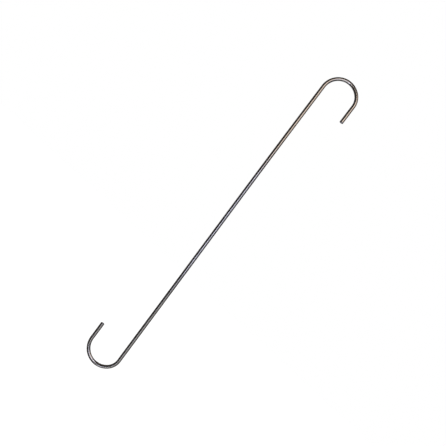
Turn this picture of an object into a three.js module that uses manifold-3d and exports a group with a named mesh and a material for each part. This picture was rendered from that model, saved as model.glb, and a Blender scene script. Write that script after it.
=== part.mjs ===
// Long double-ended meat hook: one length of round stainless bar, bent into a hook at each end.
// The upper hook goes over a rail or pipe, and the lower hook, turned the other way, carries
// the load. Both hooks lie in one plane, and both ends of the bar are cut square and blunt.
//
// Millimetres. +Z is up, X lies in the plane of the hooks and Y is across the bar. The origin
// is the rail seat, the top of the inside of the upper bend, and the point where the load
// hangs is straight below it.

import * as THREE from 'three';
import { mergeVertices } from 'three/addons/utils/BufferGeometryUtils.js';
import Module from 'manifold-3d';

// ---- driving dimensions ------------------------------------------------------------------

const BAR_DIAMETER = 6.35;
const OVERALL_LENGTH = 609.6; // over the backs of the two bends, along the shank

const BEND_RADIUS = 29.4; // to the bar's centre, the main bend of both hooks

const UPPER_MAIN_TURN = 144; // degrees, from the shank over the rail seat
const UPPER_CLOSING_RADIUS = 25.4; // the tighter end of the upper bend, towards its tip
const UPPER_CLOSING_TURN = 36;
const UPPER_TIP_LENGTH = 32.2; // straight leg that ends the bar, beside the shank

const LOWER_ENTRY_RADIUS = 24; // the tighter start of the lower bend, at the shank
const LOWER_ENTRY_TURN = 51;
const LOWER_MAIN_TURN = 129; // degrees, under the load seat and up to the tip
const LOWER_TIP_LENGTH = 29.1;

const LEAD_IN_LENGTH = 250; // the shank leans gently into the upper bend over this length
const LEAD_IN_TURN = 0.6;

const END_CHAMFER = 0.55; // edge broken off each cut end, at 45 degrees

// ---- fineness of the faceted solid -------------------------------------------------------

const SECTION_SIDES = 24;
const LARGEST_STEP_TURN = 6; // degrees of bend in one step of the sweep
const CUTTER_MARGIN = 1; // how far a chamfer cutter stands clear of the bar

// ---- worked-out sizes --------------------------------------------------------------------

const BAR_RADIUS = BAR_DIAMETER / 2;
const UP = Math.PI / 2; // headings are angles from +X towards +Z
const DOWN = -Math.PI / 2;

// How far the bar climbs along the shank while its heading changes on an arc.
function climb(radius, fromHeading, toHeading) {
  return radius * Math.abs(Math.cos(fromHeading) - Math.cos(toHeading));
}

const lowerEntryHeading = UP - THREE.MathUtils.degToRad(LOWER_ENTRY_TURN);
const leadInHeading = UP - THREE.MathUtils.degToRad(LEAD_IN_TURN);
const leadInRadius = LEAD_IN_LENGTH / THREE.MathUtils.degToRad(LEAD_IN_TURN);
const lowerBendClimb = climb(BEND_RADIUS, 0, lowerEntryHeading)
  + climb(LOWER_ENTRY_RADIUS, lowerEntryHeading, UP);
const leadInClimb = climb(leadInRadius, UP, leadInHeading);
const upperBendClimb = climb(BEND_RADIUS, leadInHeading, 0);
const SHANK_LENGTH = OVERALL_LENGTH - BAR_DIAMETER - lowerBendClimb - leadInClimb - upperBendClimb;

// ---- centreline of the bar ---------------------------------------------------------------

function straight(length) {
  return { length, turn: 0, steps: 1 };
}

// A bend through an angle in degrees, positive from +X towards +Z.
function bend(name, radius, degrees) {
  const turn = THREE.MathUtils.degToRad(degrees);
  const steps = Math.ceil(Math.abs(degrees) / LARGEST_STEP_TURN);
  return { name, radius, length: radius * Math.abs(turn), turn, steps };
}

// The bar from its lower tip to its upper tip, as straights and arcs in the XZ plane. The
// curve's parameter runs evenly over the steps, so that a sweep has a section exactly where
// each piece begins and ends.
class BarCentreline extends THREE.Curve {
  constructor(pieces, startHeading) {
    super();
    this.pieces = [];
    this.steps = 0;
    let start = new THREE.Vector3();
    let heading = startHeading;
    for (const piece of pieces) {
      const placed = { ...piece, start, heading, firstStep: this.steps };
      this.pieces.push(placed);
      this.steps += piece.steps;
      start = this.pointOn(placed, piece.length);
      heading += piece.turn;
    }
  }

  pointOn(piece, distance) {
    const { start, heading, length, turn } = piece;
    if (turn === 0) {
      const along = new THREE.Vector3(Math.cos(heading), 0, Math.sin(heading));
      return start.clone().addScaledVector(along, distance);
    }
    const signedRadius = length / turn;
    const newHeading = heading + distance / signedRadius;
    const moveX = signedRadius * (Math.sin(newHeading) - Math.sin(heading));
    const moveZ = signedRadius * (Math.cos(heading) - Math.cos(newHeading));
    return new THREE.Vector3(start.x + moveX, 0, start.z + moveZ);
  }

  // The piece that a parameter falls on, and the share of that piece already covered.
  locate(t) {
    const step = t * this.steps;
    const later = this.pieces.findIndex((piece) => piece.firstStep > step);
    const piece = this.pieces[later === -1 ? this.pieces.length - 1 : Math.max(later - 1, 0)];
    return { piece, share: (step - piece.firstStep) / piece.steps };
  }

  getPoint(t) {
    const { piece, share } = this.locate(t);
    return this.pointOn(piece, share * piece.length);
  }

  getTangent(t) {
    const { piece, share } = this.locate(t);
    const heading = piece.heading + share * piece.turn;
    return new THREE.Vector3(Math.cos(heading), 0, Math.sin(heading));
  }

  getPointAt(u) {
    return this.getPoint(u);
  }

  getTangentAt(u) {
    return this.getTangent(u);
  }

  // Centre of the arc of a named bend.
  bendCentre(name) {
    const { start, heading, radius, turn } = this.pieces.find((piece) => piece.name === name);
    const inward = heading + Math.sign(turn) * UP;
    return new THREE.Vector3(
      start.x + radius * Math.cos(inward),
      0,
      start.z + radius * Math.sin(inward),
    );
  }
}

const centreline = new BarCentreline([
  straight(LOWER_TIP_LENGTH),
  bend('load bend', BEND_RADIUS, LOWER_MAIN_TURN),
  bend('lower entry', LOWER_ENTRY_RADIUS, LOWER_ENTRY_TURN),
  straight(SHANK_LENGTH),
  bend('lead-in', leadInRadius, -LEAD_IN_TURN),
  bend('rail bend', BEND_RADIUS, -UPPER_MAIN_TURN),
  bend('upper closing', UPPER_CLOSING_RADIUS, -UPPER_CLOSING_TURN),
  straight(UPPER_TIP_LENGTH),
], DOWN);

// ---- solids ------------------------------------------------------------------------------

const wasm = await Module();
wasm.setup();

function toSolid(geometry) {
  const bare = geometry.clone();
  bare.deleteAttribute('normal');
  bare.deleteAttribute('uv');
  const merged = mergeVertices(bare, 1e-4);
  return new wasm.Manifold(new wasm.Mesh({
    numProp: 3,
    vertProperties: new Float32Array(merged.attributes.position.array),
    triVerts: new Uint32Array(merged.index.array),
  }));
}

function toGeometry(solid) {
  const mesh = solid.getMesh();
  const geometry = new THREE.BufferGeometry();
  geometry.setAttribute('position', new THREE.BufferAttribute(mesh.vertProperties, 3));
  geometry.setIndex(new THREE.BufferAttribute(mesh.triVerts, 1));
  geometry.computeVertexNormals();
  return geometry;
}

// The round section swept along the centreline.
function sweptBar() {
  const section = new THREE.Shape().absarc(0, 0, BAR_RADIUS, 0, 2 * Math.PI);
  return new THREE.ExtrudeGeometry(section, {
    curveSegments: SECTION_SIDES / 2,
    steps: centreline.steps,
    extrudePath: centreline,
  });
}

// A ring with a three-cornered section. Its sloping inner side is the chamfer of a bar end
// that stands at the origin, with the bar's material towards -Y.
function chamferCutter() {
  const inner = BAR_RADIUS - END_CHAMFER - CUTTER_MARGIN;
  const outer = BAR_RADIUS + CUTTER_MARGIN;
  const profile = [
    new THREE.Vector2(inner, CUTTER_MARGIN),
    new THREE.Vector2(outer, -END_CHAMFER - CUTTER_MARGIN),
    new THREE.Vector2(outer, CUTTER_MARGIN),
    new THREE.Vector2(inner, CUTTER_MARGIN),
  ];
  return new THREE.LatheGeometry(profile, 2 * SECTION_SIDES);
}

// Turns and moves a cutter on to the end of the bar at parameter 0 or 1.
function placeAtEnd(geometry, t) {
  const outward = centreline.getTangent(t).multiplyScalar(t === 0 ? -1 : 1);
  const turn = new THREE.Quaternion().setFromUnitVectors(new THREE.Vector3(0, 1, 0), outward);
  return geometry.applyQuaternion(turn).translate(...centreline.getPoint(t).toArray());
}

function hookGeometry() {
  let solid = toSolid(sweptBar());
  for (const end of [0, 1]) {
    solid = solid.subtract(toSolid(placeAtEnd(chamferCutter(), end)));
  }
  return toGeometry(solid);
}

// ---- the hook, hung on its rail seat -----------------------------------------------------

const railCentre = centreline.bendCentre('rail bend');
const loadCentre = centreline.bendCentre('load bend');

// A loaded hook turns on the rail until the two bends' centres are plumb, one above the other.
const loadLine = railCentre.clone().sub(loadCentre);
const hangTurn = -Math.atan2(loadLine.x, loadLine.z);

const brightSteel = new THREE.MeshStandardMaterial({
  color: 0x9d9995,
  roughness: 0.24,
  metalness: 1,
});

const hookRod = new THREE.Mesh(
  hookGeometry().translate(-railCentre.x, 0, -railCentre.z),
  brightSteel,
);
hookRod.name = 'hook_rod';
hookRod.rotation.y = hangTurn;
hookRod.position.z = -(BEND_RADIUS - BAR_RADIUS);

const meatHook = new THREE.Group();
meatHook.add(hookRod);

export default meatHook;
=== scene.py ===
"""Looks of the long double-ended meat hook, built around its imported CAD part.

The hook is one bright-drawn stainless bar. Its mesh is made here again, finely, on the same
centreline as the CAD bar: oval where it was bent, dented by the bending former, worn where it
hangs and where the load hangs, and sawn off square at both ends. Metres, in the CAD frame.
"""

import math

import bpy
import numpy as np
from mathutils import Matrix, Vector, noise


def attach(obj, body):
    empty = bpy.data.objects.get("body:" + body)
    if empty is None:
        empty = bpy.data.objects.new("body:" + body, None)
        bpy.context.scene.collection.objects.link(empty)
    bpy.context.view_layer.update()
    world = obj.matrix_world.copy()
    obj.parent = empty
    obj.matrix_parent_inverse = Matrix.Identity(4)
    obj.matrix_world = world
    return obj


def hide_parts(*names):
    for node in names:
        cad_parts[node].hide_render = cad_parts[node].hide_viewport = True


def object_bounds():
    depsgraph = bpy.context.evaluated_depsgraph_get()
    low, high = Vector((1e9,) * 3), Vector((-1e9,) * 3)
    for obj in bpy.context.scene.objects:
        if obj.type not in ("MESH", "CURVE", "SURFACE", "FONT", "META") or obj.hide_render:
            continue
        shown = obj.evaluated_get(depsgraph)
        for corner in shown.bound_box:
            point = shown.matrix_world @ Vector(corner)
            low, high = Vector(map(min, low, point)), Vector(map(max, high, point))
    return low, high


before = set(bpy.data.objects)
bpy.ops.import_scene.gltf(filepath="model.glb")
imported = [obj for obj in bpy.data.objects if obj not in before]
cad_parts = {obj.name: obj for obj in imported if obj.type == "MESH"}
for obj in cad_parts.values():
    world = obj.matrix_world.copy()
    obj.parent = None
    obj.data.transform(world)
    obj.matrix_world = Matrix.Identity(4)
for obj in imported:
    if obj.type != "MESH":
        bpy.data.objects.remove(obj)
cad_low, cad_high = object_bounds()

# ---- the bar, as the CAD part states it ---------------------------------------------------

BAR_RADIUS = 0.003175
OVERALL_LENGTH = 0.6096
BEND_RADIUS = 0.0294
UPPER_MAIN_TURN = math.radians(144)
UPPER_CLOSING_RADIUS = 0.0254
UPPER_CLOSING_TURN = math.radians(36)
UPPER_TIP_LENGTH = 0.0322
LOWER_ENTRY_RADIUS = 0.024
LOWER_ENTRY_TURN = math.radians(51)
LOWER_MAIN_TURN = math.radians(129)
LOWER_TIP_LENGTH = 0.0291
LEAD_IN_LENGTH = 0.250
LEAD_IN_TURN = math.radians(0.6)
END_CHAMFER = 0.00055

QUARTER_TURN = math.pi / 2
UP = QUARTER_TURN
DOWN = -QUARTER_TURN

LOWER_BEND = 1               # places of the two main bends among the bar's pieces
UPPER_BEND = 5

# ---- fineness and small shapes of the visible bar -----------------------------------------

SIDES = 48
BEND_GAP = 0.0008            # between rings in a bend
STRAIGHT_GAP = 0.003         # between rings on a straight
FACE_RINGS = 9               # rings on a cut face
FACE_SHARES = (0.12, 0.94)   # radii of the first and last of them, as shares of the face
EDGE_ROUNDING = 0.00012      # of the two edges of the broken edge
OVALITY = 0.012              # how much a bend flattens the bar towards its centre
OVAL_SPREAD = 0.45           # the share of that which widens it sideways
BEND_FADE = 0.006            # length over which a bend's effects fade into a straight
FORMER_DENT = 0.00005        # flat that the bending former leaves inside a bend
DENT_START = 0.6             # cosine around the bar where the flat begins
SEAT_WEAR = 0.00009          # depth of wear at the rail seat and the load seat
WEAR_START = 0.55            # cosine around the bar where the wear begins
SEAT_LENGTH = 0.009          # how far the wear reaches along the bar
RIPPLE = 0.000012            # slow wander of the bar off its centreline
RIPPLE_LENGTH = 0.022
IN_PLANE_RIPPLE = 3.1        # where in the noise the wander in the hook's plane is read
ACROSS_RIPPLE = 8.7          # and the wander across that plane
SAW_DEPTH = 0.00002          # height of the saw ridges on a cut face
SAW_PITCH = 0.0006
SAW_SLANT = 0.3
SHARP_ANGLE = math.radians(38)
TINY = 1e-9


def shank_length():
    """Length of the straight shank that makes the hook its overall length."""
    entry_heading = UP - LOWER_ENTRY_TURN
    lead_in_heading = UP - LEAD_IN_TURN
    lower = BEND_RADIUS * (1 - math.cos(entry_heading))
    lower += LOWER_ENTRY_RADIUS * math.cos(entry_heading)
    lead_in = LEAD_IN_LENGTH / LEAD_IN_TURN * math.cos(lead_in_heading)
    upper = BEND_RADIUS * (1 - math.cos(lead_in_heading))
    return OVERALL_LENGTH - 2 * BAR_RADIUS - lower - lead_in - upper


def bar_pieces():
    """Length, turn and station gap of each straight and arc, from the lower tip up."""
    def straight(length):
        return length, 0.0, STRAIGHT_GAP

    def bend(radius, turn):
        return radius * abs(turn), turn, BEND_GAP

    return [
        straight(LOWER_TIP_LENGTH),
        bend(BEND_RADIUS, LOWER_MAIN_TURN),
        bend(LOWER_ENTRY_RADIUS, LOWER_ENTRY_TURN),
        straight(shank_length()),
        (LEAD_IN_LENGTH, -LEAD_IN_TURN, STRAIGHT_GAP),
        bend(BEND_RADIUS, -UPPER_MAIN_TURN),
        bend(UPPER_CLOSING_RADIUS, -UPPER_CLOSING_TURN),
        straight(UPPER_TIP_LENGTH),
    ]


def walk(pieces, heading):
    """Stations along the bar: arrays of x, z, heading, distance and curvature."""
    x = z = distance = 0.0
    rows = [(x, z, heading, distance, 0.0)]
    starts = []
    for length, turn, gap in pieces:
        starts.append((x, z, heading))
        curvature = turn / length
        steps = math.ceil(length / gap)
        for step in range(1, steps + 1):
            run = length * step / steps
            now = heading + curvature * run
            if turn:
                move_x = (math.sin(now) - math.sin(heading)) / curvature
                move_z = (math.cos(heading) - math.cos(now)) / curvature
            else:
                move_x = run * math.cos(heading)
                move_z = run * math.sin(heading)
            rows.append((x + move_x, z + move_z, now, distance + run, curvature))
        x, z, heading, distance = rows[-1][:4]
    return np.array(rows), starts


def bend_centre(start, radius, side):
    """Centre of an arc, to the left (side 1) or right (side -1) of where it starts."""
    x, z, heading = start
    inward = heading + side * QUARTER_TURN
    return np.array([x + radius * math.cos(inward), z + radius * math.sin(inward)])


pieces = bar_pieces()
stations, starts = walk(pieces, DOWN)
station_x, station_z, station_heading, station_distance, station_curvature = stations.T
load_centre = bend_centre(starts[LOWER_BEND], BEND_RADIUS, 1)
rail_centre = bend_centre(starts[UPPER_BEND], BEND_RADIUS, -1)
load_line = rail_centre - load_centre
HANG_TURN = math.atan2(load_line[0], load_line[1])

# Distances along the bar to the rail seat, the load seat and the upper tip.
RAIL_SEAT = sum(length for length, turn, gap in pieces[:UPPER_BEND])
RAIL_SEAT += BEND_RADIUS * (QUARTER_TURN - LEAD_IN_TURN + HANG_TURN)
LOAD_SEAT = LOWER_TIP_LENGTH + BEND_RADIUS * (QUARTER_TURN - HANG_TURN)
BAR_LENGTH = station_distance[-1]


# ---- mesh of the bar ----------------------------------------------------------------------

def end_rings():
    """Inset from the cut face and radius of each ring of a sawn end, from the middle out."""
    flat = BAR_RADIUS - END_CHAMFER
    slope = EDGE_ROUNDING * math.sqrt(0.5)
    rings = [(0.0, flat * share) for share in np.linspace(*FACE_SHARES, FACE_RINGS)]
    rings.append((0.0, flat - EDGE_ROUNDING))
    rings.append((slope, flat + slope))
    rings.append((END_CHAMFER - slope, BAR_RADIUS - slope))
    rings.append((END_CHAMFER + EDGE_ROUNDING, BAR_RADIUS))
    return np.array(rings)


def bar_rings():
    """Distance along the bar and radius of every ring, from the lower tip to the upper."""
    ends = end_rings()
    reach = END_CHAMFER + 2 * EDGE_ROUNDING
    on_body = (station_distance > reach) & (station_distance < BAR_LENGTH - reach)
    body = station_distance[on_body]
    distance = np.concatenate([ends[:, 0], body, BAR_LENGTH - ends[::-1, 0]])
    radius = np.concatenate([ends[:, 1], np.full(len(body), BAR_RADIUS), ends[::-1, 1]])
    return distance, radius


def smooth_along(values, distance, spread):
    """A weighted mean of values over about spread to each side."""
    weight = np.exp(-0.5 * ((distance[:, None] - distance[None, :]) / spread) ** 2)
    return weight @ values / weight.sum(1)


def wander(distance, channel):
    """Slow random waves of height 1 or less, the same on every run."""
    places = [Vector((d / RIPPLE_LENGTH, channel, 0.0)) for d in distance]
    return np.array([noise.noise(place) for place in places])


def near(distance, place, length):
    """1 at a place along the bar, falling away over a length to each side."""
    return np.exp(-0.5 * ((distance - place) / length) ** 2)


def soft_step(low, high, value):
    """0 below low, 1 above high and smooth between."""
    share = np.clip((value - low) / (high - low), 0.0, 1.0)
    return share * share * (3 - 2 * share)


def ring_faces(count):
    """Quads from each ring to the next, and fans from the two tip points that follow them."""
    index = np.arange(count * SIDES).reshape(count, SIDES)
    following = np.roll(index, -1, axis=1)
    quads = np.stack([index[:-1], index[1:], following[1:], following[:-1]], axis=2)
    faces = [tuple(map(int, quad)) for quad in quads.reshape(-1, 4)]
    first_tip = count * SIDES
    last_tip = first_tip + 1
    for side in range(SIDES):
        faces.append((first_tip, int(index[0, side]), int(following[0, side])))
        faces.append((last_tip, int(following[-1, side]), int(index[-1, side])))
    return faces


def bar_mesh():
    """The bar as rings around its centreline, with fans of triangles closing its ends."""
    distance, radius = bar_rings()
    x = np.interp(distance, station_distance, station_x)
    z = np.interp(distance, station_distance, station_z)
    heading = np.interp(distance, station_distance, station_heading)
    curl = np.interp(distance, station_distance, station_curvature) * BEND_RADIUS
    curl = smooth_along(np.clip(curl, -1, 1), distance, BEND_FADE)
    x = x + RIPPLE * wander(distance, IN_PLANE_RIPPLE)
    y = RIPPLE * wander(distance, ACROSS_RIPPLE)

    around = np.arange(SIDES) * 2 * math.pi / SIDES
    inward = np.sign(curl)[:, None] * np.cos(around)[None, :]
    bent = np.abs(curl)[:, None]
    seat = near(distance, RAIL_SEAT, SEAT_LENGTH) + near(distance, LOAD_SEAT, SEAT_LENGTH)
    wear = seat[:, None] * soft_step(WEAR_START, 1.0, inward)
    rub = bent * soft_step(DENT_START, 1.0, inward)
    flattening = np.cos(around) ** 2 - OVAL_SPREAD * np.sin(around) ** 2
    oval = OVALITY * bent * flattening[None, :]
    ring = radius[:, None] * (1 - oval) - FORMER_DENT * rub - SEAT_WEAR * wear

    left = ring * np.cos(around)
    side = ring * np.sin(around)
    from_end = np.minimum(distance, BAR_LENGTH - distance)
    on_face = from_end < TINY
    cut = np.where(from_end < END_CHAMFER, 1.0, 0.0)[:, None] * np.ones(SIDES)
    saw_phase = 2 * math.pi * (left + SAW_SLANT * side) / SAW_PITCH
    saw = SAW_DEPTH * np.sin(saw_phase) * on_face[:, None]
    saw *= np.where(distance < BAR_LENGTH / 2, 1, -1)[:, None]
    saw *= (radius < BAR_RADIUS - END_CHAMFER - 2 * EDGE_ROUNDING)[:, None]

    local_x = x[:, None] - np.sin(heading)[:, None] * left + np.cos(heading)[:, None] * saw
    local_z = z[:, None] + np.cos(heading)[:, None] * left + np.sin(heading)[:, None] * saw
    local_y = y[:, None] + side
    points = np.stack([local_x, local_y, local_z], axis=2).reshape(-1, 3)
    straight_on = np.broadcast_to(distance[:, None], left.shape)
    straightened = np.stack([left, side, straight_on], axis=2).reshape(-1, 3)

    tips = [(x[0], y[0], z[0]), (x[-1], y[-1], z[-1])]
    points = np.vstack([points, tips])
    straightened = np.vstack([straightened, [(0, 0, 0), (0, 0, BAR_LENGTH)]])

    mesh = bpy.data.meshes.new("hook_bar")
    mesh.from_pydata(hang(points).tolist(), [], ring_faces(len(distance)))
    add_attribute(mesh, "bar_space", "FLOAT_VECTOR", "vector", straightened)
    add_attribute(mesh, "seat_wear", "FLOAT", "value", np.append(wear.ravel(), [0, 0]))
    add_attribute(mesh, "former_rub", "FLOAT", "value", np.append(rub.ravel(), [0, 0]))
    add_attribute(mesh, "cut_face", "FLOAT", "value", np.append(cut.ravel(), [1, 1]))
    mesh.validate()
    mesh.shade_smooth()
    mesh.set_sharp_from_angle(angle=SHARP_ANGLE)
    return mesh


def hang(points):
    """Turns points plumb under the rail and puts the rail seat at the origin."""
    x = points[:, 0] - rail_centre[0]
    z = points[:, 2] - rail_centre[1]
    turned = points.copy()
    turned[:, 0] = x * math.cos(HANG_TURN) - z * math.sin(HANG_TURN)
    turned[:, 2] = x * math.sin(HANG_TURN) + z * math.cos(HANG_TURN)
    turned[:, 2] -= BEND_RADIUS - BAR_RADIUS
    return turned


def add_attribute(mesh, name, kind, field, values):
    """Stores one value or vector for each point of the mesh, for the material to read."""
    attribute = mesh.attributes.new(name, kind, "POINT")
    attribute.data.foreach_set(field, np.asarray(values, np.float32).ravel())


def make_bar():
    """The visible bar, in place of the CAD bar."""
    bar = bpy.data.objects.new("hook_bar", bar_mesh())
    bpy.context.scene.collection.objects.link(bar)
    bar.data.materials.append(bright_bar_material())
    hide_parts("hook_rod")
    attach(bar, "root")


# ---- material -----------------------------------------------------------------------------

class Tree:
    """Short calls for a node tree. Each adds one node and returns its first output."""

    def __init__(self, tree):
        self.tree = tree
        tree.nodes.clear()

    def node(self, kind, inputs=None, **settings):
        made = self.tree.nodes.new(kind)
        for name, value in settings.items():
            setattr(made, name, value)
        for name, value in (inputs or {}).items():
            socket = made.inputs[name]
            if isinstance(value, bpy.types.NodeSocket):
                self.tree.links.new(value, socket)
            else:
                socket.default_value = value
        return made

    def math(self, operation, first, second=0.0, clamp=False):
        made = self.node(
            "ShaderNodeMath", {0: first, 1: second}, operation=operation, use_clamp=clamp
        )
        return made.outputs[0]

    def scaled(self, vector, scale):
        made = self.node(
            "ShaderNodeVectorMath", {0: vector, 1: scale}, operation="MULTIPLY"
        )
        return made.outputs[0]

    def noise(self, vector, detail=2.0, roughness=0.5):
        made = self.node(
            "ShaderNodeTexNoise",
            {"Vector": vector, "Scale": 1.0, "Detail": detail, "Roughness": roughness},
        )
        return made.outputs[0]

    def remap(self, value, from_low, from_high, to_low=0.0, to_high=1.0):
        made = self.node(
            "ShaderNodeMapRange",
            {0: value, 1: from_low, 2: from_high, 3: to_low, 4: to_high},
            clamp=True,
            interpolation_type="SMOOTHSTEP",
        )
        return made.outputs[0]

    def mix(self, share, first, second):
        made = self.node(
            "ShaderNodeMix", {0: share, 6: first, 7: second}, data_type="RGBA"
        )
        return made.outputs[2]

    def attribute(self, name, output):
        made = self.node("ShaderNodeAttribute", attribute_name=name)
        return made.outputs[output]


STEEL = (0.645, 0.635, 0.622, 1.0)
STEEL_DARK = (0.570, 0.558, 0.545, 1.0)
STEEL_WORN = (0.700, 0.692, 0.682, 1.0)
FILM = (0.450, 0.425, 0.395, 1.0)
GRIME = (0.250, 0.230, 0.205, 1.0)
CUT_STEEL = (0.300, 0.288, 0.272, 1.0)
BUMP_DEPTH = 0.000008
SLANT_AXIS = (1.0, 0.4, 0.0)


def streaks(t, space, across, along, detail=2.0):
    """Noise drawn out along the bar: so many cells to the metre across it and along it."""
    return t.noise(t.scaled(space, (across, across, along)), detail, 0.55)


def scratches(t, vector, across, along, rarity):
    """Straight hairline scratches: the peaks of a noise drawn out along one direction."""
    return t.remap(streaks(t, vector, across, along, 1.0), rarity, rarity + 0.05)


def slanted(t, space, degrees):
    """Bar space turned, so that what is drawn out along the bar runs across it at a slant."""
    made = t.node(
        "ShaderNodeVectorRotate",
        {"Vector": space, "Axis": SLANT_AXIS, "Angle": math.radians(degrees)},
    )
    return made.outputs[0]


def bright_bar_material():
    """Bright-drawn stainless: die lines along the bar, hairline scratches, film and scuffs."""
    material = bpy.data.materials.new("bright_bar")
    material.use_nodes = True
    t = Tree(material.node_tree)
    space = t.attribute("bar_space", "Vector")
    wear = t.attribute("seat_wear", "Fac")
    rub = t.attribute("former_rub", "Fac")
    cut = t.attribute("cut_face", "Fac")

    fine_lines = streaks(t, space, across=5200, along=16)
    broad_lines = streaks(t, space, across=1500, along=7)
    cloud = t.noise(t.scaled(space, (210, 210, 60)), 4.0, 0.6)
    patches = t.noise(t.scaled(space, (70, 70, 13)), 2.0, 0.5)
    handled = t.remap(patches, 0.40, 0.62)
    along = t.math("MULTIPLY", scratches(t, space, 7500, 130, 0.63), handled)
    slant = scratches(t, slanted(t, space, 28), 6500, 240, 0.67)
    slant_back = scratches(t, slanted(t, space, -52), 6000, 300, 0.69)
    slant = t.math("ADD", slant, slant_back, clamp=True)

    scuff_lines = t.noise(t.scaled(space, (420, 420, 6800)), 2.0, 0.6)
    spots = t.remap(t.noise(t.scaled(space, (330, 330, 95)), 3.0, 0.6), 0.62, 0.72)
    worn = t.math("MULTIPLY", wear, t.remap(cloud, 0.30, 0.60, 0.55, 1.0))
    scuffed = t.math("ADD", t.math("MULTIPLY", spots, 0.5), worn, clamp=True)
    scuffed = t.math("ADD", scuffed, t.math("MULTIPLY", rub, 0.35), clamp=True)

    cells = t.node(
        "ShaderNodeTexVoronoi", {"Vector": t.scaled(space, (1100, 1100, 700)), "Scale": 1.0}
    ).outputs[0]
    pits = t.math("MULTIPLY", t.remap(cells, 0.05, 0.16, 1.0, 0.0), t.remap(patches, 0.50, 0.60))

    saw_lines = t.noise(t.scaled(space, (5200, 300, 300)), 3.0, 0.6)

    shade = t.math("ADD", t.math("MULTIPLY", cloud, 0.5), t.math("MULTIPLY", broad_lines, 0.5))
    colour = t.mix(t.remap(shade, 0.36, 0.62), STEEL_DARK, STEEL)
    colour = t.mix(t.math("MULTIPLY", t.remap(patches, 0.54, 0.72), 0.35), colour, FILM)
    colour = t.mix(t.remap(fine_lines, 0.35, 0.65, 0.10, 0.0), colour, GRIME)
    colour = t.mix(t.math("MULTIPLY", along, 0.20), colour, GRIME)
    colour = t.mix(t.math("MULTIPLY", worn, 0.75), colour, STEEL_WORN)
    colour = t.mix(t.math("MULTIPLY", pits, 0.60), colour, GRIME)
    sawn = t.math("MULTIPLY", cut, t.remap(saw_lines, 0.40, 0.60, 0.95, 0.45))
    colour = t.mix(sawn, colour, CUT_STEEL)

    rough = t.remap(fine_lines, 0.30, 0.70, 0.105, 0.170)
    rough = t.math("ADD", rough, t.remap(patches, 0.42, 0.70, 0.0, 0.05))
    rough = t.math("ADD", rough, t.math("MULTIPLY", along, 0.12))
    rough = t.math("ADD", rough, t.math("MULTIPLY", slant, 0.12))
    rough = t.math("ADD", rough, t.math("MULTIPLY", scuffed, 0.13))
    rough = t.math("ADD", rough, t.math("MULTIPLY", cut, 0.16))

    round_bar = t.math("SUBTRACT", 1.0, cut)
    height = t.math("MULTIPLY", fine_lines, 0.75)
    height = t.math("ADD", height, t.math("MULTIPLY", broad_lines, 0.90))
    height = t.math("SUBTRACT", height, t.math("MULTIPLY", along, 0.15))
    height = t.math("SUBTRACT", height, t.math("MULTIPLY", slant, 0.15))
    height = t.math("SUBTRACT", height, t.math("MULTIPLY", pits, 0.9))
    scuff_height = t.math("MULTIPLY", scuff_lines, scuffed)
    height = t.math("ADD", height, t.math("MULTIPLY", scuff_height, 0.4))
    height = t.math("MULTIPLY", height, round_bar)
    saw_height = t.math("MULTIPLY", saw_lines, cut)
    height = t.math("ADD", height, t.math("MULTIPLY", saw_height, 1.2))
    bump = t.node(
        "ShaderNodeBump", {"Height": height, "Strength": 1.0, "Distance": BUMP_DEPTH}
    ).outputs[0]

    shader = t.node(
        "ShaderNodeBsdfPrincipled",
        {"Base Color": colour, "Metallic": 1.0, "Roughness": rough, "Normal": bump},
    )
    t.node("ShaderNodeOutputMaterial", {"Surface": shader.outputs[0]})
    return material


# ---- stage, lights and camera -------------------------------------------------------------

TO_CAMERA = Vector((0, -1, 0))
SHANK = Vector((-math.sin(HANG_TURN), 0, math.cos(HANG_TURN)))
ACROSS = Vector((math.cos(HANG_TURN), 0, math.sin(HANG_TURN)))

MIDDLE = Vector([(low + high) / 2 for low, high in zip(cad_low, cad_high)])
VIEW_SHIFT = Vector((0.00122, 0.0, 0.00049))
SHANK_LEAN = math.radians(36.542)
CAMERA_ROLL = SHANK_LEAN + HANG_TURN
CAMERA_DISTANCE = 1.1
FRAME_WIDTH = 0.71566
SENSOR_WIDTH = 36.0

FLOOR_GAP = 0.35
FLOOR_REACH = 6.0
FLOOR_WHITE = (0.9, 0.9, 0.9, 1)
SUN_LEVEL = 0.2
SUN_SPREAD = math.radians(40)
ROOM = (0.024, 0.021, 0.019, 1)
LAMP_DISTANCE = 1.3

PLAIN = (1.0, 1.0, 1.0)
COOL = (0.90, 0.93, 1.0)
COOLER = (0.80, 0.82, 1.0)
BLUE = (0.72, 0.76, 1.0)
SOFT = (1.0, 0.97, 0.93)
WARM = (1.0, 0.85, 0.74)
WARMER = (1.0, 0.79, 0.64)

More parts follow.
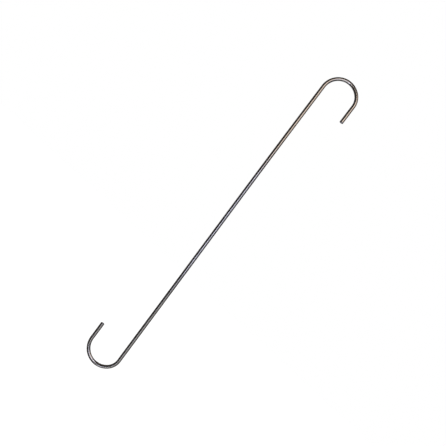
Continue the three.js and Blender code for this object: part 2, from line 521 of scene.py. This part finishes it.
# The first levels and colours, but for the back lamps, were a least-squares fit, rounded. All were
# then changed in several rounds, so the rows work as a set and none is a real lamp.
SOFTBOXES = [
    # name, degrees around the shank, degrees along it, width, height, level, colour
    ("strip_low", 1.5, -30, 3, 40, 2.1, BLUE),
    ("strip_high", 1.5, 0, 3, 20, 4.2, COOLER),
    ("key_low", 17, -38, 28, 52, 0.41, SOFT),
    ("key_middle", 17, 0, 28, 22, 1.28, COOLER),
    ("key_high", 16, 21, 28, 20, 1.48, WARM),
    ("left_low", -12, -40, 20, 50, 0.12, SOFT),
    ("left_high", -12, 45, 20, 60, 0.08, WARMER),
    ("right_low", 47, -21, 26, 16, 0.44, SOFT),
    ("right_lowest", 47, -46, 26, 32, 0.16, SOFT),
    ("right_middle", 47, 0, 26, 26, 0.19, COOLER),
    ("right_high", 47, 34, 26, 42, 0.70, WARMER),
    ("right_side_low", 80, -35, 36, 50, 0.06, SOFT),
    ("right_side_middle", 80, 0, 36, 20, 0.07, COOLER),
    ("right_side_high", 80, 35, 36, 50, 0.07, WARMER),
    ("left_side_low", -85, -35, 40, 50, 0.05, SOFT),
    ("left_side_middle", -85, 0, 40, 20, 0.06, COOLER),
    ("left_side_high", -85, 35, 40, 50, 0.06, WARMER),
    ("back_left", -158, 0, 16, 110, 0.6, PLAIN),
    ("back_right", 158, 0, 16, 110, 0.8, COOL),
]


def make_camera():
    """Camera square to the plane of the hooks, rolled so that the shank leans to the right."""
    data = bpy.data.cameras.new("camera")
    data.sensor_width = SENSOR_WIDTH
    data.lens = SENSOR_WIDTH * CAMERA_DISTANCE / FRAME_WIDTH
    camera = bpy.data.objects.new("camera", data)
    bpy.context.scene.collection.objects.link(camera)
    upright = Matrix.Rotation(math.pi / 2, 4, "X")
    roll = Matrix.Rotation(-CAMERA_ROLL, 4, "Y")
    place = Matrix.Translation(MIDDLE + VIEW_SHIFT + TO_CAMERA * CAMERA_DISTANCE)
    camera.matrix_world = place @ roll @ upright
    bpy.context.scene.camera = camera


def direction(across, along):
    """Unit vector from the hook: degrees around the shank from the camera, and along it."""
    turn, lift = math.radians(across), math.radians(along)
    flat = TO_CAMERA * math.cos(turn) + ACROSS * math.sin(turn)
    return flat * math.cos(lift) + SHANK * math.sin(lift)


def softbox(name, across, along, wide, tall, level, colour):
    """A rectangular lamp that faces the hook. Its place and size are degrees seen from there."""
    data = bpy.data.lights.new(name, "AREA")
    data.shape = "RECTANGLE"
    data.size = 2 * LAMP_DISTANCE * math.tan(math.radians(wide / 2))
    data.size_y = 2 * LAMP_DISTANCE * math.tan(math.radians(tall / 2))
    data.energy = level * math.pi * data.size * data.size_y
    data.color = colour
    lamp = bpy.data.objects.new(name, data)
    bpy.context.scene.collection.objects.link(lamp)
    out = direction(across, along)
    side = SHANK.cross(out).normalized()
    up = out.cross(side).normalized()
    turn = Matrix((side, up, out)).transposed().to_4x4()
    lamp.matrix_world = Matrix.Translation(MIDDLE + out * LAMP_DISTANCE) @ turn
    lamp.visible_camera = False
    lamp.visible_diffuse = False


def make_sun():
    """Soft light from straight above for the floor, which the metal doesn't reflect."""
    data = bpy.data.lights.new("sun", "SUN")
    data.angle = SUN_SPREAD
    data.energy = SUN_LEVEL * math.pi
    lamp = bpy.data.objects.new("sun", data)
    bpy.context.scene.collection.objects.link(lamp)
    lamp.visible_glossy = False


def make_floor():
    """A wide white floor well below the hook."""
    low = cad_low[2] - FLOOR_GAP
    mesh = bpy.data.meshes.new("floor")
    corners = [(-1, -1), (1, -1), (1, 1), (-1, 1)]
    points = [(x * FLOOR_REACH, y * FLOOR_REACH, low) for x, y in corners]
    mesh.from_pydata(points, [], [(0, 1, 2, 3)])
    floor = bpy.data.objects.new("floor", mesh)
    bpy.context.scene.collection.objects.link(floor)
    material = bpy.data.materials.new("floor")
    material.use_nodes = True
    t = Tree(material.node_tree)
    shader = t.node("ShaderNodeBsdfDiffuse", {"Color": FLOOR_WHITE, "Roughness": 0.0})
    t.node("ShaderNodeOutputMaterial", {"Surface": shader.outputs[0]})
    mesh.materials.append(material)
    floor.visible_glossy = False


def make_world():
    """White behind the hook and over the floor; a dim room for what the metal reflects."""
    world = bpy.data.worlds.new("studio")
    bpy.context.scene.world = world
    world.use_nodes = True
    t = Tree(world.node_tree)
    glossy_ray = t.node("ShaderNodeLightPath").outputs["Is Glossy Ray"]
    white = t.node("ShaderNodeBackground", {"Color": (1, 1, 1, 1), "Strength": 1.0}).outputs[0]
    room = t.node("ShaderNodeBackground", {"Color": ROOM, "Strength": 1.0}).outputs[0]
    mixed = t.node("ShaderNodeMixShader", {0: glossy_ray, 1: white, 2: room}).outputs[0]
    t.node("ShaderNodeOutputWorld", {"Surface": mixed})
    world.cycles.sampling_method = "NONE"


make_bar()
make_camera()
make_floor()
make_sun()
make_world()
for row in SOFTBOXES:
    softbox(*row)

scene = bpy.context.scene
scene.view_settings.view_transform = "Standard"
scene.view_settings.look = "None"
scene.view_settings.exposure = 0.0
scene.view_settings.gamma = 1.0
